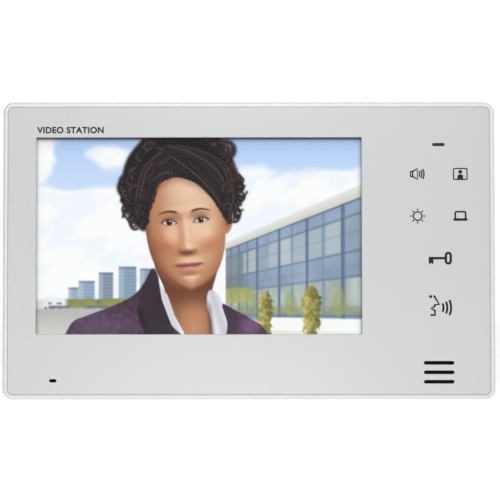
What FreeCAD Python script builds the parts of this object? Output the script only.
import FreeCAD, Part
import math
import os
import re
import Sketcher

# Video intercom monitor: a wall-hung indoor station with a 7 inch class screen.
#
# Frame: X runs to the viewer's right, Z up and Y into the wall. The wall is the plane Y = 0 and
# the origin is the centre of the bracket's screw holes, so a depth is a distance out from the
# wall, towards the viewer, and lies at Y = -depth. All sizes are in millimetres.

SIZES = [
    # the two covers
    ("body_width", 230, "outside of the front cover"),
    ("body_height", 139, "outside of the front cover"),
    ("body_radius", 4.8, "corner of the front cover"),
    ("rear_gap", 0.5, "wall to the back of the rear cover"),
    ("seam_depth", 12.5, "where the two covers meet"),
    ("front_depth", 25, "wall to the rim of the front cover"),
    ("wall_thick", 2, "moulded walls"),
    ("rear_inset", 1, "rear cover, smaller than the front on each side"),
    ("rim_width", 2.1, "rim round the front panel"),
    ("rim_round", 1.2, "outer edge of the rim"),
    # front panel and window
    ("panel_gap", 0.2, "groove between rim and panel"),
    ("panel_sink", 0.3, "panel face below the rim"),
    ("panel_thick", 1.6, "front panel"),
    ("tape_thick", 0.3, "adhesive behind the panel"),
    ("window_thick", 1.2, "clear screen window"),
    ("window_rabbet", 0.9, "depth of the window's seat"),
    ("edge_break", 0.25, "small rounding on panel edges"),
    ("rear_round", 2, "back edge of the rear cover"),
    ("inside_radius", 2, "inner corners of the rear cover"),
    ("tongue_thick", 0.8, "tongue that locates the front cover"),
    ("tongue_high", 1.5, "tongue that locates the front cover"),
    ("vent_across", 88, "middle of each group of vents"),
    ("vent_up", 32, "vents"),
    ("vent_pitch", 4.4, "vents"),
    ("vent_width", 1.8, "vents"),
    ("vent_height", 24, "vents"),
    ("vent_count", 8, "vents in a group"),
    ("screen_across", -23.4, "centre of the screen"),
    ("screen_up", 7, "centre of the screen"),
    ("screen_width", 152.4, "visible opening"),
    ("screen_height", 92.2, "visible opening"),
    # display module
    ("lcd_width", 165, "display module"),
    ("lcd_height", 104, "display module"),
    ("lcd_thick", 5.7, "display module"),
    ("seat_margin", 3.8, "window seat beyond the display module"),
    ("view_margin", 1.2, "bezel's view beyond the opening"),
    ("sheet_metal", 0.3, "display bezel"),
    ("gasket_thick", 0.6, "foam between display and window"),
    # marks and sound openings on the panel
    ("key_across", 88.7, "middle of the key column"),
    ("led_up", 49.6, "status light"),
    ("led_width", 5.9, "status light slot"),
    ("led_height", 1.5, "status light slot"),
    ("sound_up", -56.8, "middle speaker slot"),
    ("sound_pitch", 4.4, "speaker slots"),
    ("sound_width", 14.3, "speaker slots"),
    ("sound_height", 1.75, "speaker slots"),
    ("speaker_up", -50.5, "speaker axis"),
    ("speaker_radius", 16, "speaker flange"),
    ("ear_reach", 18.6, "speaker axis to each fixing screw"),
    ("ear_post", 1.9, "speaker screw posts"),
    ("ear_hole", 0.85, "pilot hole of a speaker screw"),
    ("capsule_radius", 3, "microphone"),
    ("mic_across", -91.5, "microphone"),
    ("mic_up", -60.7, "microphone"),
    ("mic_width", 3.5, "microphone slot"),
    ("mic_height", 1.6, "microphone slot"),
    # boards and the frame that carries them
    ("chassis_depth", 14.4, "wall side of the inner frame"),
    ("chassis_thick", 1.2, "inner frame"),
    ("board_depth", 12.2, "wall side of the main board"),
    ("board_thick", 1.6, "circuit boards"),
    ("board_across", -20, "centre of the main board"),
    ("board_up", -6, "centre of the main board"),
    ("board_width", 150, "main board"),
    ("board_height", 104, "main board"),
    ("board_holes_up", 2, "centre of the main board's holes"),
    ("board_holes_wide", 140, "main board's holes"),
    ("board_holes_high", 78, "main board's holes"),
    ("touch_across", 90, "centre of the touch board"),
    ("touch_up", 12.5, "centre of the touch board"),
    ("touch_width", 42, "touch board"),
    ("touch_height", 91, "touch board"),
    # screws
    ("case_post_across", 108.5, "outer case screws"),
    ("case_post_up", 62.8, "case screws"),
    ("post_radius", 3, "screw posts"),
    ("case_seat", 4.5, "seat of the case screw heads"),
    ("case_hole", 1.1, "pilot hole of a case screw"),
    ("frame_hole", 1.05, "pilot hole of a frame or board screw"),
    ("frame_post_left", -109.4, "frame screws"),
    ("frame_post_right", 64, "frame screws"),
    ("frame_post_low", -30, "frame screws"),
    ("frame_post_high", 44, "frame screws"),
    ("screw_slack", 0.05, "screw shank to its hole"),
    # wall bracket
    ("bracket_width", 120, "steel plate"),
    ("bracket_height", 96, "steel plate"),
    ("bracket_thick", 1.2, "steel plate"),
    ("bracket_lip", 1.6, "stiffening lips stand this far off the plate"),
    ("lip_inset", 6, "plate's corner to the end of a lip"),
    ("gang_wide", 46, "two-gang wall box holes"),
    ("gang_high", 83.3, "one-gang and two-gang wall box holes"),
    ("gang_hole", 2.2, "half the width of a slotted hole"),
    ("gang_slot", 8, "length of a slotted hole"),
    ("cable_width", 62, "opening for the cables"),
    ("cable_height", 58, "opening for the cables"),
    ("cable_up", 2, "opening for the cables"),
    ("hook_across", 46, "hooks either side of the middle"),
    ("hook_up", 27, "top of the upper hooks' stems"),
    ("hook_width", 8, "hooks"),
    ("hook_tip", 4.8, "hook tips above their stems"),
    ("hook_thick", 1.2, "hook tips"),
    ("hook_play", 0.2, "hook tips clear of the cover"),
    ("hook_window", 11, "height of the window that a hook is bent from"),
    ("slot_play", 0.6, "hooks to each side of their windows and slots"),
    ("recess_depth", 4, "floor of the bracket's recess"),
    ("recess_width", 124, "bracket's recess"),
    ("recess_height", 106, "bracket's recess"),
    ("recess_up", -3.5, "centre of the bracket's recess"),
    ("lift_travel", 7, "how far the monitor lifts to come off its hooks"),
    ("hook_slack", 0.05, "cover resting on the hooks"),
    # terminal block
    ("ways", 6, "wire positions"),
    ("way_pitch", 5.08, "wire positions"),
    ("block_up", 22, "terminal block"),
    ("block_width", 34, "terminal block"),
    ("block_height", 13.6, "terminal block"),
    ("block_depth", 4.4, "wall side of the terminal block"),
    ("entry_deep", 1.6, "wall that the wires enter through"),
    ("chamber_end", 6.4, "far side of a clamp's chamber"),
    ("clamp_width", 3.2, "spring clamps"),
    ("clamp_thick", 0.4, "spring clamps"),
    ("button_long", 5.2, "release buttons, tip to root"),
    ("lever_up", 25.2, "release buttons"),
    ("lever_width", 3.6, "release buttons"),
    ("lever_height", 3.8, "release buttons"),
    ("lever_proud", 1.2, "release buttons stand proud"),
    ("lever_travel", 1.1, "how far a release button goes in"),
    ("guide_spare", 0.3, "left under a button that is pressed in"),
    ("wire_up", 18.8, "wire entries"),
    ("wire_hole", 1.25, "wire entries"),
    ("slide_fit", 0.1, "gap round a sliding piece"),
    # power switch
    ("switch_across", -60, "power switch"),
    ("switch_depth", 9.3, "power switch knob"),
    ("knob_size", 2.6, "power switch knob"),
    ("knob_travel", 3, "power switch knob"),
    ("knob_tip", -69.2, "lowest point of the knob"),
    ("knob_rib", 0.7, "ribs on the knob"),
    ("knob_groove", 0.3, "grooves between the ribs"),
    ("scoop_deep", 0.8, "finger scoop round the knob"),
    ("scoop_margin", 9, "finger scoop beyond the knob's travel"),
    ("scoop_wide", 6.4, "finger scoop"),
    # label, leads and ribbons
    ("label_width", 38, "blank label"),
    ("label_height", 22, "blank label"),
    ("label_across", 88, "blank label"),
    ("label_up", -30, "blank label"),
    ("label_thick", 0.15, "blank label"),
    ("lead_radius", 0.7, "speaker and microphone leads"),
    ("ribbon_thick", 0.2, "flat cables"),
]

DOC = FreeCAD.newDocument("VideoIntercomMonitor")
SHEET = DOC.addObject("Spreadsheet::Sheet", "Sizes")
PIECES = []


def fill_sheet(rows):
    """Write each size as plain text with an alias, and what it is beside it."""
    for row, (alias, number, meaning) in enumerate(rows, start=1):
        SHEET.set("A%d" % row, meaning)
        SHEET.set("B%d" % row, str(number))
        SHEET.setAlias("B%d" % row, alias)
    DOC.recompute()


def cells(expression):
    """Turn the sizes named in an expression into references to the sheet."""
    return re.sub(r"[a-z][a-z_]*", r"Sizes.\g<0>", expression)


def value(expression):
    return float(SHEET.evalExpression(cells(expression)))


def bind(item, name, expression):
    item.setExpression(name, cells(expression))


# ---------------------------------------------------------------- outlines in a sketch

def fix(sketch, kind, references, expression):
    """Add a dimension to a sketch and bind it to the sheet."""
    index = sketch.addConstraint(Sketcher.Constraint(kind, *references, value(expression)))
    bind(sketch, "Constraints[%d]" % index, expression)


def fix_point(sketch, geometry, vertex, x, z):
    fix(sketch, "DistanceX", (-1, 1, geometry, vertex), x)
    fix(sketch, "DistanceY", (-1, 1, geometry, vertex), z)


class Circle:
    def __init__(self, radius, x="0", z="0"):
        self.radius, self.x, self.z = radius, x, z

    def draw(self, sketch):
        centre = FreeCAD.Vector(value(self.x), value(self.z), 0)
        up = FreeCAD.Vector(0, 0, 1)
        circle = sketch.addGeometry(Part.Circle(centre, up, value(self.radius)))
        fix_point(sketch, circle, 3, self.x, self.z)
        fix(sketch, "Radius", (circle,), self.radius)


class Outline:
    """A closed run of straight edges, each corner placed on its own."""

    def __init__(self, corners):
        self.corners = corners

    def draw(self, sketch):
        points = [FreeCAD.Vector(value(x), value(z), 0) for x, z in self.corners]
        count = len(points)
        first = sketch.GeometryCount
        for index in range(count):
            sketch.addGeometry(Part.LineSegment(points[index], points[(index + 1) % count]))
        for index, (x, z) in enumerate(self.corners):
            before = first + (index - 1) % count
            sketch.addConstraint(Sketcher.Constraint("Coincident", before, 2, first + index, 1))
            fix_point(sketch, first + index, 1, x, z)


class Rectangle(Outline):
    """A rectangle about its own centre."""

    def __init__(self, width, height, x="0", z="0"):
        right, left = "(%s)+(%s)/2" % (x, width), "(%s)-(%s)/2" % (x, width)
        top, bottom = "(%s)+(%s)/2" % (z, height), "(%s)-(%s)/2" % (z, height)
        super().__init__([(left, bottom), (right, bottom), (right, top), (left, top)])


class RoundedRectangle:
    """A rectangle with one radius at all its corners."""

    def __init__(self, width, height, radius, x="0", z="0"):
        self.width, self.height, self.radius, self.x, self.z = width, height, radius, x, z

    def draw(self, sketch):
        centre = FreeCAD.Vector(value(self.x), value(self.z), 0)
        reach_x, reach_z = value(self.width) / 2, value(self.height) / 2
        radius = value(self.radius)
        quarter = math.pi / 2
        up = FreeCAD.Vector(0, 0, 1)
        arcs, sides = [], []
        for index, (sign_x, sign_z) in enumerate([(1, 1), (-1, 1), (-1, -1), (1, -1)]):
            middle = centre + FreeCAD.Vector(sign_x * (reach_x - radius), sign_z * (reach_z - radius), 0)
            circle = Part.Circle(middle, up, radius)
            arc = Part.ArcOfCircle(circle, index * quarter, (index + 1) * quarter)
            arcs.append(sketch.addGeometry(arc))
        for index in range(4):
            start = sketch.Geometry[arcs[index]].EndPoint
            end = sketch.Geometry[arcs[(index + 1) % 4]].StartPoint
            sides.append(sketch.addGeometry(Part.LineSegment(start, end)))
        rules = []
        for index in range(4):
            rules.append(("Tangent", arcs[index], 2, sides[index], 1))
            rules.append(("Tangent", sides[index], 2, arcs[(index + 1) % 4], 1))
            rules.append(("Horizontal" if index % 2 == 0 else "Vertical", sides[index]))
        rules += [("Equal", arcs[0], arcs[index]) for index in (1, 2, 3)]
        sketch.addConstraint([Sketcher.Constraint(*rule) for rule in rules])
        fix(sketch, "Radius", (arcs[0],), self.radius)
        fix_point(sketch, arcs[0], 3, "(%s)+(%s)/2-(%s)" % (self.x, self.width, self.radius),
                  "(%s)+(%s)/2-(%s)" % (self.z, self.height, self.radius))
        fix_point(sketch, arcs[2], 3, "(%s)-(%s)/2+(%s)" % (self.x, self.width, self.radius),
                  "(%s)-(%s)/2+(%s)" % (self.z, self.height, self.radius))


class Slot:
    """A level slot with round ends."""

    def __init__(self, length, height, x="0", z="0"):
        self.length, self.height, self.x, self.z = length, height, x, z

    def draw(self, sketch):
        radius = value(self.height) / 2
        reach = value(self.length) / 2 - radius
        up = FreeCAD.Vector(0, 0, 1)
        ends, sides = [], []
        for sign in (1, -1):
            middle = FreeCAD.Vector(value(self.x) + sign * reach, value(self.z), 0)
            start = -math.pi / 2 if sign > 0 else math.pi / 2
            arc = Part.ArcOfCircle(Part.Circle(middle, up, radius), start, start + math.pi)
            ends.append(sketch.addGeometry(arc))
        for index in range(2):
            start = sketch.Geometry[ends[index]].EndPoint
            end = sketch.Geometry[ends[1 - index]].StartPoint
            sides.append(sketch.addGeometry(Part.LineSegment(start, end)))
        for index in range(2):
            for rule in (("Tangent", ends[index], 2, sides[index], 1),
                         ("Tangent", sides[index], 2, ends[1 - index], 1)):
                sketch.addConstraint(Sketcher.Constraint(*rule))
        fix(sketch, "Radius", (ends[0],), "(%s)/2" % self.height)
        for end, sign in zip(ends, "+-"):
            reach = "(%s)%s((%s)-(%s))/2" % (self.x, sign, self.length, self.height)
            fix_point(sketch, end, 3, reach, self.z)


# ---------------------------------------------------------------- pieces

class Piece:
    """One sub-part. A range given to add or cut runs along the plane's own normal: a depth out
    from the wall on XZ_Plane, a height on XY_Plane and a distance to the right on YZ_Plane."""

    def __init__(self, label):
        self.body = DOC.addObject("PartDesign::Body", label)
        self.body.Label = label
        self.body.AllowCompound = True
        self.label = label
        self.count = 0
        PIECES.append(self.body)

    def datum(self, role):
        return next(item for item in self.body.Origin.OriginFeatures if item.Role == role)

    def name(self, kind):
        self.count += 1
        return "%s_%s_%d" % (self.label, kind, self.count)

    def sketch(self, outlines, role, offset, across="0"):
        sketch = self.body.newObject("Sketcher::SketchObject", self.name("sketch"))
        sketch.AttachmentSupport = [(self.datum(role), "")]
        sketch.MapMode = "FlatFace"
        bind(sketch, "AttachmentOffset.Base.x", across)
        bind(sketch, "AttachmentOffset.Base.z", offset)
        for outline in outlines:
            outline.draw(sketch)
        DOC.recompute()
        return sketch

    def add(self, outlines, start, end, role="XZ_Plane"):
        sketch = self.sketch(outlines, role, start)
        pad = self.body.newObject("PartDesign::Pad", self.name("pad"))
        pad.Profile = sketch
        bind(pad, "Length", "(%s)-(%s)" % (end, start))
        DOC.recompute()
        return pad

    def cut(self, outlines, start, end, role="XZ_Plane"):
        before = self.body.Shape.Volume
        sketch = self.sketch(outlines, role, end)
        pocket = self.body.newObject("PartDesign::Pocket", self.name("pocket"))
        pocket.Profile = sketch
        bind(pocket, "Length", "(%s)-(%s)" % (end, start))
        DOC.recompute()
        if not self.body.Shape.Volume < before:
            raise RuntimeError("a pocket cut nothing from " + self.label)
        return pocket

    def turn(self, corners, across, up):
        """Revolve corners given as (radius, depth) about an axis square to the wall."""
        profile = Outline([(radius, "-(%s)" % depth) for radius, depth in corners])
        sketch = self.sketch([profile], "XY_Plane", up, across)
        turned = self.body.newObject("PartDesign::Revolution", self.name("turned"))
        turned.Profile = sketch
        turned.ReferenceAxis = (sketch, ["V_Axis"])
        turned.Angle = 360
        DOC.recompute()
        return turned

    def repeat(self, features, across=None, up=None):
        """Repeat features level, upright or both: each is a spacing and a count."""
        pattern = self.body.newObject("PartDesign::LinearPattern", self.name("pattern"))
        pattern.Originals = features
        runs = [(role, run) for role, run in (("X_Axis", across), ("Z_Axis", up)) if run]
        for (role, (spacing, count)), suffix in zip(runs, ("", "2")):
            setattr(pattern, "Direction" + suffix, (self.datum(role), [""]))
            bind(pattern, "Length" + suffix, "(%s)*(%s-1)" % (spacing, count))
            bind(pattern, "Occurrences" + suffix, str(count))
        self.body.Tip = pattern
        DOC.recompute()
        return pattern

    def soften(self, size, chosen, kind="Fillet"):
        """Fillet or chamfer the edges of the last feature that a test picks out."""
        feature = self.body.Tip
        edges = ["Edge%d" % (number + 1) for number, edge in enumerate(feature.Shape.Edges) if chosen(edge)]
        if not edges:
            raise RuntimeError("no edge to soften on " + self.label)
        soft = self.body.newObject("PartDesign::" + kind, self.name(kind.lower()))
        soft.Base = (feature, edges)
        bind(soft, "Radius" if kind == "Fillet" else "Size", size)
        DOC.recompute()
        return soft


def rim_edges(depth, width, height, margin="0.01"):
    """Test for edges at a depth that run along the outside of a width by height outline."""
    level, reach_x, reach_z = -value(depth), value(width) / 2, value(height) / 2
    slack = value(margin)

    def chosen(edge):
        box = edge.BoundBox
        flat = abs(box.YMin - level) < slack and abs(box.YMax - level) < slack
        outer_x = max(abs(box.XMin), abs(box.XMax)) > reach_x - slack
        outer_z = max(abs(box.ZMin), abs(box.ZMax)) > reach_z - slack
        return flat and (outer_x or outer_z)
    return chosen


def opening_edges(depth, width, height, x, z):
    """Test for edges at a depth that lie on the outline of one opening."""
    level = -value(depth)
    middle_x, middle_z = value(x), value(z)
    reach_x, reach_z = value(width) / 2, value(height) / 2
    slack = 0.01

    def chosen(edge):
        box = edge.BoundBox
        flat = abs(box.YMin - level) < slack and abs(box.YMax - level) < slack
        inside_x = box.XMin > middle_x - reach_x - slack and box.XMax < middle_x + reach_x + slack
        inside_z = box.ZMin > middle_z - reach_z - slack and box.ZMax < middle_z + reach_z + slack
        return flat and inside_x and inside_z
    return chosen


def grid(radius, columns, rows):
    """Circles at every crossing of the columns and rows."""
    return [Circle(radius, x, z) for x in columns for z in rows]


# Depths that follow from the driving sizes.
PANEL_FACE = "front_depth-panel_sink"
PANEL_BACK = PANEL_FACE + "-panel_thick"
FACE_FRONT = PANEL_BACK + "-tape_thick"
FACE_BACK = FACE_FRONT + "-wall_thick"
WINDOW_SEAT = FACE_FRONT + "-window_rabbet"
WINDOW_FRONT = WINDOW_SEAT + "+window_thick"
LCD_FRONT = WINDOW_SEAT + "-gasket_thick"
LCD_BACK = LCD_FRONT + "-lcd_thick"
REAR_FLOOR = "rear_gap+wall_thick"
RECESS_BACK = "recess_depth+wall_thick"
CHASSIS_FRONT = "chassis_depth+chassis_thick"
BOARD_FRONT = "board_depth+board_thick"
TOUCH_BACK = FACE_BACK + "-board_thick"
SPEAKER_FACE = FACE_BACK + "-1"

POST_COLUMNS = ["-case_post_across", "0", "case_post_across"]
POST_ROWS = ["-case_post_up", "case_post_up"]
FRAME_COLUMNS = ["frame_post_left", "frame_post_right"]
FRAME_ROWS = ["frame_post_low", "frame_post_high"]
BOARD_COLUMNS = ["board_across-board_holes_wide/2", "board_across+board_holes_wide/2"]
BOARD_ROWS = ["board_holes_up-board_holes_high/2", "board_holes_up+board_holes_high/2"]
EAR_COLUMNS = ["key_across-ear_reach", "key_across+ear_reach"]

SOUND_ROWS = ["sound_up-sound_pitch", "sound_up", "sound_up+sound_pitch"]


def sound_slots(grow):
    """The three speaker slots, made longer and taller by a little."""
    return [Slot("sound_width+%s" % grow, "sound_height+%s" % grow, "key_across", row) for row in SOUND_ROWS]


def screen_rectangle(width, height, radius, shift="0"):
    return RoundedRectangle(width, height, radius, "screen_across", "screen_up+%s" % shift)


def window_seat():
    """The room that the clear window sits in."""
    return screen_rectangle("lcd_width+2*seat_margin", "lcd_height+2*seat_margin", "1.5")


# ---------------------------------------------------------------- wall bracket

def make_wall_bracket():
    piece = Piece("wall_bracket")
    piece.add([RoundedRectangle("bracket_width", "bracket_height", "4")], "0", "bracket_thick")
    lip = "bracket_width/2-bracket_thick/2"
    lips = [Rectangle("bracket_thick", "bracket_height-2*lip_inset", x) for x in (lip, "-(%s)" % lip)]
    piece.add(lips, "0", "bracket_thick+bracket_lip")
    stem = "-hook_up-bracket_thick"
    inner, outer = "-(%s+hook_play)" % RECESS_BACK, "-(%s+hook_play+hook_thick)" % RECESS_BACK
    tip = "-hook_up+hook_tip"
    hook = Outline([("0", stem), (outer, stem), (outer, tip), (inner, tip), (inner, "-hook_up"),
                    ("0", "-hook_up")])
    hooks = piece.add([hook], "-hook_across-hook_width/2", "-hook_across+hook_width/2", "YZ_Plane")
    window_up = "-hook_up-bracket_thick-hook_window/2"
    window = RoundedRectangle("hook_width+2*slot_play", "hook_window", "0.8", "-hook_across", window_up)
    windows = piece.cut([window], "0", "bracket_thick")
    piece.repeat([hooks, windows], across=("2*hook_across", 2), up=("2*hook_up", 2))
    piece.cut([RoundedRectangle("cable_width", "cable_height", "5", "0", "cable_up")], "0", "bracket_thick")
    holes = []
    for row in ("-gang_high/2", "gang_high/2"):
        holes += [Slot("gang_slot", "2*gang_hole", x, row) for x in ("-gang_wide/2", "gang_wide/2")]
        holes.append(Circle("gang_hole", "0", row))
    piece.cut(holes, "0", "bracket_thick")


# ---------------------------------------------------------------- covers

def make_rear_cover():
    piece = Piece("rear_cover")
    width, height = "body_width-2*rear_inset", "body_height-2*rear_inset"
    piece.add([RoundedRectangle(width, height, "body_radius-rear_inset")], "rear_gap", "seam_depth")
    piece.soften("rear_round", rim_edges("rear_gap", width, height))
    inner_width, inner_height = width + "-2*wall_thick", height + "-2*wall_thick"
    piece.cut([RoundedRectangle(inner_width, inner_height, "inside_radius")], REAR_FLOOR, "seam_depth")
    island = RoundedRectangle("recess_width+2*wall_thick", "recess_height+2*wall_thick", "5", "0", "recess_up")
    piece.add([island], REAR_FLOOR, RECESS_BACK)
    recess = RoundedRectangle("recess_width", "recess_height", "4", "0", "recess_up")
    piece.cut([recess], "rear_gap", "recess_depth")
    tongue_width, tongue_height = inner_width + "+2*tongue_thick", inner_height + "+2*tongue_thick"
    tongue = [RoundedRectangle(tongue_width, tongue_height, "inside_radius+tongue_thick"),
              RoundedRectangle(inner_width, inner_height, "inside_radius")]
    piece.add(tongue, "seam_depth", "seam_depth+tongue_high")
    piece.add(grid("post_radius+0.6", POST_COLUMNS, POST_ROWS), REAR_FLOOR, "case_seat+wall_thick")
    piece.cut(grid("post_radius-0.1", POST_COLUMNS, POST_ROWS), "rear_gap", "case_seat")
    piece.cut(grid("case_hole+0.3", POST_COLUMNS, POST_ROWS), "case_seat", "case_seat+wall_thick")
    opening = RoundedRectangle("block_width+1", "block_height+1", "1", "0", "block_up")
    piece.cut([opening], "recess_depth", RECESS_BACK)
    drop = "bracket_thick+lift_travel+0.3"
    slot_up = "-hook_up+hook_slack-(%s+hook_slack)/2" % drop
    slot = Rectangle("hook_width+2*slot_play", drop + "+hook_slack", "-hook_across", slot_up)
    slots = piece.cut([slot], "recess_depth", RECESS_BACK)
    piece.repeat([slots], across=("2*hook_across", 2), up=("2*hook_up", 2))
    count = int(value("vent_count"))
    for group in ("-vent_across", "vent_across"):
        columns = ["%s+vent_pitch*(%d-(vent_count-1)/2)" % (group, step) for step in range(count)]
        vents = [Rectangle("vent_width", "vent_height", column, "vent_up") for column in columns]
        piece.cut(vents, "rear_gap", REAR_FLOOR)
    floor, side = "-(%s)/2" % inner_height, "-(%s)/2" % height
    scoop_long = "knob_travel+scoop_margin"
    scoop = RoundedRectangle(scoop_long, "scoop_wide", "1.5", "switch_across", "-switch_depth+0.2")
    piece.cut([scoop], side, side + "+scoop_deep", "XY_Plane")
    path = Rectangle("knob_travel+knob_size+0.3", "knob_size+0.3", "switch_across", "-switch_depth")
    piece.cut([path], side, floor, "XY_Plane")


def make_front_cover():
    piece = Piece("front_cover")
    piece.add([RoundedRectangle("body_width", "body_height", "body_radius")], "seam_depth", "front_depth")
    piece.soften("rim_round", rim_edges("front_depth", "body_width", "body_height"))
    inner_width, inner_height = "body_width-2*wall_thick", "body_height-2*wall_thick"
    piece.cut([RoundedRectangle(inner_width, inner_height, "body_radius-wall_thick")], "seam_depth", FACE_BACK)
    seat = RoundedRectangle("body_width-2*rim_width", "body_height-2*rim_width", "body_radius-rim_width")
    piece.cut([seat], FACE_FRONT, "front_depth")
    piece.cut([window_seat()], WINDOW_SEAT, FACE_FRONT)
    piece.cut([screen_rectangle("lcd_width+1", "lcd_height+1", "1")], FACE_BACK, WINDOW_SEAT)
    piece.add(grid("post_radius", POST_COLUMNS, POST_ROWS), "case_seat+wall_thick", FACE_BACK)
    piece.add(grid("post_radius-0.1", FRAME_COLUMNS, FRAME_ROWS), CHASSIS_FRONT, FACE_BACK)
    piece.add(grid("ear_post", EAR_COLUMNS, ["speaker_up"]), SPEAKER_FACE, FACE_BACK)
    piece.cut(grid("case_hole", POST_COLUMNS, POST_ROWS), "case_seat+wall_thick", "16")
    piece.cut(grid("frame_hole", FRAME_COLUMNS, FRAME_ROWS), CHASSIS_FRONT, FACE_BACK + "+0.4")
    piece.cut(grid("ear_hole", EAR_COLUMNS, ["speaker_up"]), SPEAKER_FACE, FACE_BACK + "+1.4")
    openings = sound_slots("1")
    openings.append(Slot("mic_width+0.3", "mic_height+0.3", "mic_across", "mic_up"))
    openings.append(RoundedRectangle("led_width+0.6", "led_height+0.8", "0.5", "key_across", "led_up"))
    piece.cut(openings, FACE_BACK, FACE_FRONT)


def make_front_panel():
    piece = Piece("front_panel")
    shrink = "-2*(rim_width+panel_gap)"
    width, height = "body_width" + shrink, "body_height" + shrink
    radius = "body_radius-rim_width-panel_gap"
    piece.add([RoundedRectangle(width, height, radius)], PANEL_BACK, PANEL_FACE)
    piece.soften("edge_break", rim_edges(PANEL_FACE, width, height))
    piece.cut([screen_rectangle("screen_width", "screen_height", "0.4")], PANEL_BACK, PANEL_FACE)
    opening = opening_edges(PANEL_FACE, "screen_width", "screen_height", "screen_across", "screen_up")
    piece.soften("edge_break", opening, "Chamfer")
    slots = sound_slots("0")
    slots.append(Slot("mic_width", "mic_height", "mic_across", "mic_up"))
    slots.append(Slot("led_width", "led_height", "key_across", "led_up"))
    piece.cut(slots, PANEL_BACK, PANEL_FACE)


def make_panel_tape():
    piece = Piece("panel_tape")
    outlines = [RoundedRectangle("body_width-9", "body_height-9", "2"),
                window_seat(),
                RoundedRectangle("18", "14", "1", "key_across", "sound_up"),
                RoundedRectangle("led_width+3.4", "led_height+2.9", "0.5", "key_across", "led_up"),
                Circle("2", "mic_across", "mic_up")]
    piece.add(outlines, FACE_FRONT, PANEL_BACK)


def make_screen_window():
    piece = Piece("screen_window")
    width, height = "lcd_width+2*seat_margin-0.6", "lcd_height+2*seat_margin-0.6"
    piece.add([screen_rectangle(width, height, "1.2")], WINDOW_SEAT, WINDOW_FRONT)


# ---------------------------------------------------------------- display module

def make_display():
    gasket = Piece("lcd_gasket")
    gasket.add([screen_rectangle("lcd_width-0.4", "lcd_height-0.4", "1"),
                screen_rectangle("screen_width+2.8", "screen_height+2.8", "0.5")], LCD_FRONT, WINDOW_SEAT)

    bezel = Piece("lcd_bezel")
    bezel.add([screen_rectangle("lcd_width", "lcd_height", "0.8")], LCD_BACK + "+1", LCD_FRONT)
    inside = screen_rectangle("lcd_width-2*sheet_metal", "lcd_height-2*sheet_metal", "0.5")
    bezel.cut([inside], LCD_BACK + "+1", LCD_FRONT + "-sheet_metal")
    view = screen_rectangle("screen_width+2*view_margin", "screen_height+2*view_margin", "0.4")
    bezel.cut([view], LCD_FRONT + "-sheet_metal", LCD_FRONT)

    tray = Piece("lcd_rear_tray")
    tray.add([screen_rectangle("lcd_width-0.8", "lcd_height-0.8", "0.4")], LCD_BACK, LCD_FRONT + "-0.4")
    hollow = screen_rectangle("lcd_width-1.8", "lcd_height-1.8", "0.3")
    tray.cut([hollow], LCD_BACK + "+0.5", LCD_FRONT + "-0.4")

    layers = [("lcd_light_guide", "160", "97", "1.4", "0.5", "3.3"),
              ("lcd_diffuser", "160", "99", "0", "3.3", "3.9"),
              ("lcd_cell", "160.5", "99.5", "0", "3.9", "lcd_thick-sheet_metal")]
    for label, width, height, shift, start, end in layers:
        layer = Piece(label)
        layer.add([screen_rectangle(width, height, "0.3", shift)], LCD_BACK + "+" + start, LCD_BACK + "+" + end)

    lights = Piece("lcd_led_strip")
    strip_up = "screen_up-lcd_height/2+2.5"
    lights.add([Rectangle("150", "2", "screen_across", strip_up)], LCD_BACK + "+0.5", LCD_BACK + "+0.8")
    diode = Rectangle("3.4", "1.4", "screen_across-70", strip_up)
    diodes = lights.add([diode], LCD_BACK + "+0.8", LCD_BACK + "+2.6")
    lights.repeat([diodes], across=("10", 15))


# ---------------------------------------------------------------- inner frame and boards

def make_inner_frame():
    piece = Piece("inner_frame")
    outline = RoundedRectangle("179.8", "98", "3", "screen_across+0.7", "3")
    piece.add([outline], "chassis_depth", CHASSIS_FRONT)
    windows = [RoundedRectangle("68", "60", "3", x, "6") for x in ("screen_across-38", "screen_across+38")]
    piece.cut(windows, "chassis_depth", CHASSIS_FRONT)
    piece.add(grid("post_radius", BOARD_COLUMNS, BOARD_ROWS), BOARD_FRONT, "chassis_depth")
    piece.cut(grid("frame_hole", BOARD_COLUMNS, BOARD_ROWS), BOARD_FRONT, CHASSIS_FRONT)
    piece.cut(grid("frame_hole+0.3", FRAME_COLUMNS, FRAME_ROWS), "chassis_depth", CHASSIS_FRONT)


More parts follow.
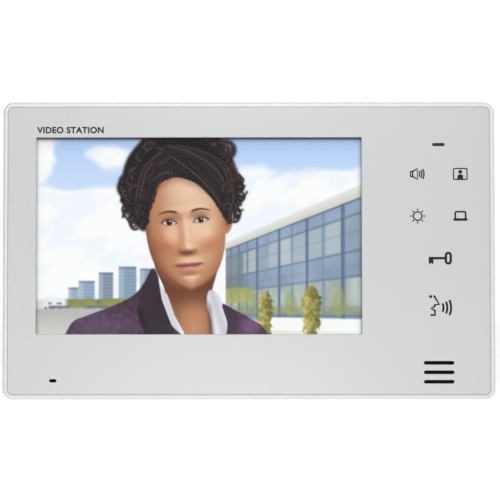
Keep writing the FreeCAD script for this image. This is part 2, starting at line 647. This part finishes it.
def make_main_board():
    piece = Piece("main_board")
    board = RoundedRectangle("board_width", "board_height", "1.5", "board_across", "board_up")
    holes = grid("frame_hole+0.25", BOARD_COLUMNS, BOARD_ROWS)
    piece.add([board] + holes, "board_depth", BOARD_FRONT)

    chips = Piece("integrated_circuits")
    places = [("15", "15", "-54", "11"), ("11", "8", "-41", "4"), ("9", "9", "-14", "-12"),
              ("5", "4", "38", "-14"), ("6", "5", "22", "-2"), ("8", "5", "-14", "-30")]
    chips.add([Rectangle(*place) for place in places], "board_depth-1.2", "board_depth")

    can = Piece("shield_can")
    can.add([RoundedRectangle("36", "30", "1", "-50", "9")], "board_depth-3", "board_depth")
    can.cut([RoundedRectangle("35.4", "29.4", "0.7", "-50", "9")], "board_depth-2.7", "board_depth")
    vent = can.cut([Circle("0.9", "-62", "0")], "board_depth-3", "board_depth-2.7")
    can.repeat([vent], across=("6", 5), up=("6", 4))

    capacitors = Piece("electrolytic_capacitors")
    base = capacitors.add([Rectangle("6.8", "6.8", "14", "-46")], "board_depth-0.6", "board_depth")
    sleeve = capacitors.add([Circle("3.15", "14", "-46")], "board_depth-5.4", "board_depth-0.6")
    capacitors.repeat([base, sleeve], across=("8.2", 4))

    coil = Piece("power_inductor")
    coil.add([RoundedRectangle("10", "10", "2", "-30", "-44")], "board_depth-0.8", "board_depth")
    coil.turn([("0", "board_depth-4.6"), ("4.9", "board_depth-4.6"), ("4.9", "board_depth-3.9"),
               ("3.9", "board_depth-3.7"), ("3.9", "board_depth-1"), ("4.9", "board_depth-0.8"),
               ("0", "board_depth-0.8")], "-30", "-44")

    transformer = Piece("line_transformer")
    transformer.add([Rectangle("14", "11", "30", "36")], "board_depth-0.8", "board_depth")
    transformer.add([Rectangle("13", "3", "30", "36")], "board_depth-5", "board_depth-0.8")
    transformer.add([RoundedRectangle("8", "9.6", "1.6", "30", "36")], "board_depth-4.4", "board_depth-0.8")

    sockets = Piece("board_connectors")
    sockets.add([Rectangle("6", "4.6", "51", "-20"), Rectangle("6", "4.6", "-80", "-52"),
                 Rectangle("4", "14", "52", "10")], "board_depth-3.4", "board_depth")
    sockets.add([Rectangle("32", "4", "-60", "-4")], BOARD_FRONT, BOARD_FRONT + "+1")


def make_touch_board():
    board = Piece("touch_board")
    outline = RoundedRectangle("touch_width", "touch_height", "1.5", "touch_across", "touch_up")
    board.add([outline], TOUCH_BACK, FACE_BACK)
    chip = Piece("touch_controller")
    chip.add([Rectangle("7", "7", "touch_across+4", "touch_up"),
              Rectangle("4", "14", "touch_across-6", "10")], TOUCH_BACK + "-1", TOUCH_BACK)
    light = Piece("status_led")
    light.add([Rectangle("1.6", "0.8", "key_across", "led_up")], FACE_BACK, FACE_BACK + "+0.6")
    guide = Piece("led_light_pipe")
    slots = [("led_width-0.1", "led_height", FACE_BACK + "+0.7", FACE_FRONT),
             ("led_width+2.8", "led_height+2.3", FACE_FRONT, PANEL_BACK),
             ("led_width-0.2", "led_height-0.2", PANEL_BACK, PANEL_FACE + "-0.1")]
    for width, height, start, end in slots:
        guide.add([Slot(width, height, "key_across", "led_up")], start, end)


# ---------------------------------------------------------------- sound

def make_speaker():
    gasket = Piece("speaker_gasket")
    gasket.add([Circle("speaker_radius", "key_across", "speaker_up"),
                Circle("speaker_radius-2.1", "key_across", "speaker_up")], SPEAKER_FACE + "+0.2", FACE_BACK)

    frame = Piece("speaker_frame")
    face = SPEAKER_FACE
    frame.turn([("speaker_radius", face), ("13.8", face), ("9.6", face + "-5.3"), ("6", face + "-5.3"),
                ("6", face + "-6.1"), ("10.2", face + "-6.1"), ("14.2", face + "-0.8"),
                ("speaker_radius", face + "-0.8")], "key_across", "speaker_up")
    ears = [RoundedRectangle("6", "5.6", "2", side + "*(ear_reach-0.2)+key_across", "speaker_up")
            for side in ("-1", "1")]
    frame.add(ears, face + "-0.8", face)
    frame.cut(grid("1.15", EAR_COLUMNS, ["speaker_up"]), face + "-0.8", face)
    frame.add([Rectangle("2.6", "5", "key_across-10.6", "speaker_up")], face + "-6.9", face + "-6.1")

    cone = Piece("speaker_cone")
    cone.turn([("15.9", face + "+0.2"), ("13.4", face + "+0.2"), ("12.9", face + "+0.5"),
               ("12.2", face + "+0.5"), ("11.6", face + "+0.1"), ("5.6", face + "-3"), ("3", face + "-2.2"),
               ("0", face + "-1.9"), ("0", face + "-2.3"), ("3", face + "-2.6"), ("5.6", face + "-3.4"),
               ("11.8", face + "-0.2"), ("12.4", face + "+0.2"), ("13.1", face), ("15.9", face)],
              "key_across", "speaker_up")

    magnet = Piece("speaker_magnet")
    back = SPEAKER_FACE + "-6.1"
    magnet.turn([("0", back + "-5"), ("9", back + "-5"), ("9", back), ("5.8", back), ("5.8", back + "-4"),
                 ("4.5", back + "-4"), ("4.5", back), ("0", back)], "key_across", "speaker_up")

    coil = Piece("speaker_coil")
    coil.add([Circle("5.4", "key_across", "speaker_up"), Circle("4.9", "key_across", "speaker_up")],
             back + "-1.5", face + "-3.5")

    mesh = Piece("speaker_mesh")
    mesh.add([RoundedRectangle("17.6", "13.6", "0.8", "key_across", "sound_up")],
             FACE_FRONT + "+0.05", PANEL_BACK + "-0.05")


def make_microphone():
    boot = Piece("microphone_boot")
    lip, seat, lid = FACE_BACK + "-5", FACE_BACK + "-4", FACE_BACK + "-1.2"
    boot.turn([("0.9", FACE_BACK), ("capsule_radius+1", FACE_BACK), ("capsule_radius+1", lip),
               ("capsule_radius-0.4", lip), ("capsule_radius-0.4", seat), ("capsule_radius", seat),
               ("capsule_radius", lid), ("0.9", lid)], "mic_across", "mic_up")
    capsule = Piece("microphone_capsule")
    capsule.add([Circle("capsule_radius", "mic_across", "mic_up")], seat, lid)
    capsule.cut([Circle("0.8", "mic_across", "mic_up")], FACE_BACK + "-1.6", FACE_BACK + "-1.2")


# ---------------------------------------------------------------- terminals and switch

def way_across(index):
    return "way_pitch*(%d-(ways-1)/2)" % index


def make_terminals():
    count = int(value("ways"))
    block = Piece("terminal_block")
    block.add([Rectangle("block_width", "block_height", "0", "block_up")], "block_depth", "board_depth")
    entries = [Circle("wire_hole", way_across(index), "wire_up") for index in range(count)]
    block.cut(entries, "block_depth", "block_depth+entry_deep")
    chambers = [Rectangle("clamp_width+0.8", "4.6", way_across(index), "wire_up") for index in range(count)]
    block.cut(chambers, "block_depth+entry_deep", "block_depth+chamber_end")
    guides = [Rectangle("lever_width+2*slide_fit", "lever_height+2*slide_fit", way_across(index), "lever_up")
              for index in range(count)]
    root = "block_depth-lever_proud+button_long"
    block.cut(guides, "block_depth", root + "+lever_travel+guide_spare")

    clamps = Piece("terminal_clamps")
    top, under, foot = "wire_up+2", "wire_up+2-clamp_thick", "wire_up-2+clamp_thick"
    mouth, end = "-(block_depth+entry_deep+0.3)", "-(block_depth+chamber_end-clamp_thick)"
    strip = Outline([(mouth, top), (mouth, under), ("-(block_depth+4)", foot),
                     ("-(block_depth+4+clamp_thick)", foot), ("-(block_depth+2.6)", under), (end, under),
                     (end, top)])
    first = way_across(0)
    clamp = clamps.add([strip], first + "-clamp_width/2", first + "+clamp_width/2", "YZ_Plane")
    clamps.repeat([clamp], across=("way_pitch", "ways"))

    for index in range(count):
        lever = Piece("terminal_lever_%d" % (index + 1))
        button = Rectangle("lever_width", "lever_height", way_across(index), "lever_up")
        lever.add([button], "block_depth-lever_proud", root)
        notch = Rectangle("2.4", "0.7", way_across(index), "lever_up")
        lever.cut([notch], "block_depth-lever_proud", "block_depth-lever_proud+0.5")


def make_power_switch():
    body = Piece("power_switch_body")
    floor = "-(body_height/2-rear_inset-wall_thick)"
    board_edge = "board_up-board_height/2"
    body.add([Rectangle("10", "(%s+2)-(%s+0.2)" % (board_edge, floor), "switch_across",
                        "((%s+2)+(%s+0.2))/2" % (board_edge, floor))], "board_depth-5.2", "board_depth")
    room = Rectangle("knob_travel+knob_size+2*slide_fit", "knob_size+2*slide_fit",
                     "switch_across", "-switch_depth")
    body.cut([room], floor + "+0.2", floor + "+3.2", "XY_Plane")
    knob = Piece("power_switch_knob")
    rest = "switch_across-knob_travel/2"
    knob.add([Rectangle("knob_size", "knob_size", rest, "-switch_depth")], "knob_tip", floor + "+3", "XY_Plane")
    line = Rectangle("knob_groove", "knob_size", rest + "-knob_rib", "-switch_depth")
    groove = knob.cut([line], "knob_tip", "knob_tip+knob_groove", "XY_Plane")
    knob.repeat([groove], across=("knob_rib", 3))


# ---------------------------------------------------------------- screws and label

def make_screws(label, seat, head_radius, head_height, shank_radius, end, first, across, up):
    """Pan-head screws whose heads sit at a depth and point at the viewer's side, in a grid."""
    piece = Piece(label)
    top = "%s-%s" % (seat, head_height)
    screw = piece.turn([("0", top), (head_radius + "-0.3", top), (head_radius, top + "+0.4"),
                        (head_radius, seat), (shank_radius, seat), (shank_radius, end + "-0.8"),
                        ("0.3", end), ("0", end)], *first)
    arms = [("0.6", "2*%s-1.8" % head_radius), ("2*%s-1.8" % head_radius, "0.6")]
    crosses = [piece.cut([Rectangle(width, height, *first)], top, top + "+0.7") for width, height in arms]
    piece.repeat([screw] + crosses, across=across, up=up)


def make_all_screws():
    make_screws("case_screws", "case_seat", "2.6", "1.6", "case_hole-screw_slack", "14.5",
                (POST_COLUMNS[0], POST_ROWS[0]), ("case_post_across", 3), ("2*case_post_up", 2))
    make_screws("frame_screws", "chassis_depth", "2.2", "1.4", "frame_hole-screw_slack", "20.6",
                (FRAME_COLUMNS[0], FRAME_ROWS[0]), ("frame_post_right-frame_post_left", 2),
                ("frame_post_high-frame_post_low", 2))
    make_screws("board_screws", "board_depth", "2.2", "1.4", "frame_hole-screw_slack", "15.5",
                (BOARD_COLUMNS[0], BOARD_ROWS[0]), ("board_holes_wide", 2), ("board_holes_high", 2))
    make_screws("speaker_screws", SPEAKER_FACE + "-0.8", "1.9", "1.2", "ear_hole-screw_slack",
                FACE_BACK + "+1.2", (EAR_COLUMNS[0], "speaker_up"), ("2*ear_reach", 2), None)


def make_rating_label():
    piece = Piece("rating_label")
    label = RoundedRectangle("label_width", "label_height", "1", "label_across", "label_up")
    piece.add([label], "rear_gap-label_thick", "rear_gap")


# ---------------------------------------------------------------- leads and ribbons

def rounded_path(points, share=0.45):
    """Straight runs joined by tangent arcs, each as large as its two runs allow."""
    edges = []
    start = points[0]
    for before, corner, after in zip(points, points[1:], points[2:]):
        into, away = (corner - before).normalize(), (after - corner).normalize()
        reach = share * min(corner.distanceToPoint(before), corner.distanceToPoint(after))
        first, last = corner - into * reach, corner + away * reach
        half_turn = into.getAngle(away) / 2
        radius = reach / math.tan(half_turn)
        inward = (away - into).normalize()
        middle = corner + inward * (radius / math.cos(half_turn) - radius)
        edges.append(Part.makeLine(start, first))
        edges.append(Part.Arc(first, middle, last).toShape())
        start = last
    edges.append(Part.makeLine(start, points[-1]))
    return Part.Wire(edges)


def place(across, up, depth):
    return FreeCAD.Vector(value(across), -value(depth), value(up))


def add_shape(label, shape):
    feature = DOC.addObject("Part::Feature", label)
    feature.Label = label
    feature.Shape = shape
    feature.Placement = FreeCAD.Placement()
    PIECES.append(feature)


def make_leads():
    """Round two-core leads held inside the case, each a tube along its whole route."""
    routes = {
        "speaker_lead": [("key_across-11.9", "speaker_up", SPEAKER_FACE + "-6.5"),
                         ("72", "speaker_up", SPEAKER_FACE + "-6.5"), ("66", "-43", "11.8"),
                         ("63", "-33", "10.8"), ("62", "-25", "10.4"), ("59", "-20", "10.4"),
                         ("54", "-20", "10.4")],
        "microphone_lead": [("mic_across", "mic_up", FACE_BACK + "-4"), ("mic_across", "mic_up", "10.6"),
                            ("mic_across+1.5", "-55", "10.4"), ("-88", "-52", "10.4"),
                            ("-83", "-52", "10.4")],
    }
    for label, stops in routes.items():
        points = [place(*stop) for stop in stops]
        path = rounded_path(points)
        section = Part.Wire([Part.makeCircle(value("lead_radius"), points[0], points[1] - points[0])])
        add_shape(label, path.makePipeShell([section], True, False))


def make_ribbons():
    """Flat cables: a thin strip that follows bends in one plane."""
    ribbons = {
        "touch_ribbon": ("z", 12, [("54", "10", "10.5"), ("62", "10", "10.5"), ("74", "10", "17.4"),
                                   ("touch_across-8", "10", "17.7")]),
        "lcd_flex": ("x", 28, [("-60", "-21", LCD_BACK + "-0.2"), ("-60", "-16", LCD_BACK + "-0.2"),
                               ("-60", "-11", BOARD_FRONT + "+0.5"), ("-60", "-6", BOARD_FRONT + "+0.5")]),
    }
    thickness = value("ribbon_thick")
    for label, (width_axis, width, stops) in ribbons.items():
        points = [place(*stop) for stop in stops]
        path = rounded_path(points)
        sideways = FreeCAD.Vector(0, 0, 1) if width_axis == "z" else FreeCAD.Vector(1, 0, 0)
        along = (points[1] - points[0]).normalize()
        outward = along.cross(sideways) * (thickness / 2)
        reach = sideways * (width / 2)
        start = points[0]
        corners = [start - reach - outward, start + reach - outward,
                   start + reach + outward, start - reach + outward]
        section = Part.makePolygon(corners + corners[:1])
        add_shape(label, path.makePipeShell([section], True, False))


# ---------------------------------------------------------------- build, test and write

def check_document():
    for item in DOC.Objects:
        if "Invalid" in item.State or "Error" in item.State:
            raise RuntimeError("%s failed: %s" % (item.Label, item.State))
    for piece in PIECES:
        shape = piece.Shape
        if shape.isNull() or not shape.isValid() or not shape.Solids:
            raise RuntimeError(piece.Label + " has no valid solid")


def main():
    fill_sheet(SIZES)
    make_wall_bracket()
    make_rear_cover()
    make_front_cover()
    make_front_panel()
    make_panel_tape()
    make_screen_window()
    make_display()
    make_inner_frame()
    make_main_board()
    make_touch_board()
    make_speaker()
    make_microphone()
    make_terminals()
    make_power_switch()
    make_all_screws()
    make_rating_label()
    make_leads()
    make_ribbons()
    DOC.recompute()
    check_document()
    os.makedirs("parts", exist_ok=True)
    for piece in PIECES:
        piece.Shape.exportStep(os.path.join("parts", piece.Label + ".step"))
        print(piece.Label, len(piece.Shape.Solids), round(piece.Shape.Volume, 2))


main()
